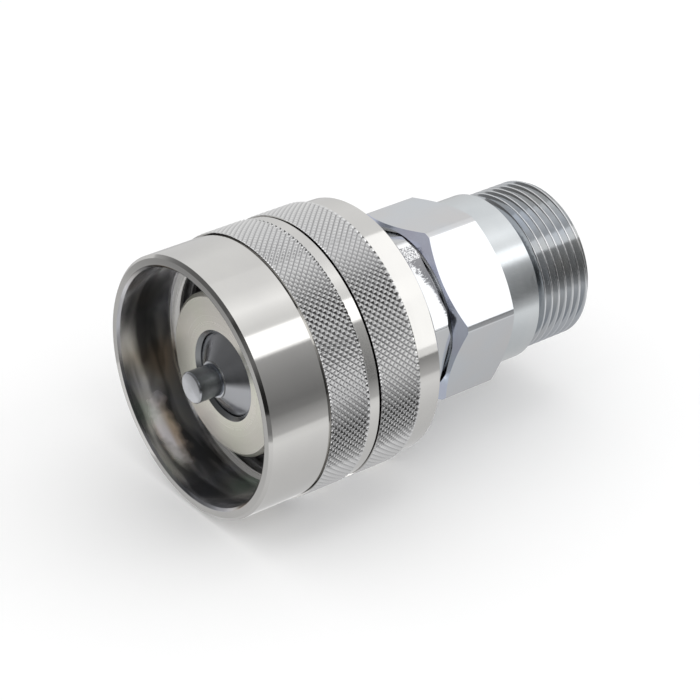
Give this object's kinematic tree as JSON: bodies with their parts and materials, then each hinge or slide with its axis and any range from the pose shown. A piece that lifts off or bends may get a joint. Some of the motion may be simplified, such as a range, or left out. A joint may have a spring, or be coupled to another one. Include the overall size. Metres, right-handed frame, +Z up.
{
  "type": "screw-to-connect quick coupling",
  "caption": "Hydraulic quick coupling half with a threaded swivelling sleeve, a sprung poppet valve, spanner hexagons and a male port thread.",
  "frame": {"origin": "on the axis, where the crests of the port thread start", "axes": "+X along the axis, out of the port; the sleeve's mouth opens towards -X; +Z is up with the coupling lying level"},
  "size_m": [0.1105, 0.068, 0.068],
  "materials": {
    "sleeve_plate": "bright nickel plate over turned and diamond-knurled steel",
    "adapter_plate": "bright zinc plate over machined hexagon and thread",
    "body_plate": "satin zinc-nickel plate, face-turned",
    "poppet_steel": "plain turned steel",
    "bearing_steel": "ground and hardened",
    "spring_steel": "drawn wire, lightly oiled",
    "bronze": "turned bronze",
    "nitrile": "smooth moulded rubber",
    "urethane": "machined hard polyurethane",
    "ptfe": "skived PTFE"
  },
  "bodies": {
    "valve_body": {"valve_body": "body_plate", "thrust_ring": "bearing_steel", "sleeve_drag_ring": "nitrile", "body_race": "bearing_steel", "nose_o_ring": "nitrile", "nose_backup_ring": "ptfe", "poppet_spring": "spring_steel", "valve_guide": "poppet_steel", "guide_bush": "bronze", "guide_snap_ring": "spring_steel", "port_adapter": "adapter_plate", "adapter_o_ring": "nitrile", "adapter_backup_ring": "ptfe"},
    "sleeve": {"coupling_sleeve": "sleeve_plate", "sleeve_lock_ring": "sleeve_plate", "sleeve_wiper_ring": "nitrile", "sleeve_race": "bearing_steel"},
    "ball_cage": {"bearing_cage": "bronze", "bearing_balls": "bearing_steel"},
    "poppet": {"poppet_head": "poppet_steel", "poppet_seal": "urethane", "poppet_stem": "poppet_steel"}
  },
  "joints": [
    {"name": "sleeve_spin", "type": "hinge", "parent": "valve_body", "child": "sleeve", "pos_m": [0, 0, 0], "axis": [1, 0, 0], "continuous": true},
    {"name": "cage_spin", "type": "hinge", "parent": "valve_body", "child": "ball_cage", "pos_m": [0, 0, 0], "axis": [1, 0, 0], "continuous": true},
    {"name": "poppet_slide", "type": "slide", "parent": "valve_body", "child": "poppet", "axis": [1, 0, 0], "range_m": [0, 0.008], "stiffness_N_per_m": 5000, "springref_m": -0.012, "deforming": ["poppet_spring"]}
  ],
  "couplings": [
    {"joint": "cage_spin", "follows": "sleeve_spin", "ratio": 0.5}
  ]
}
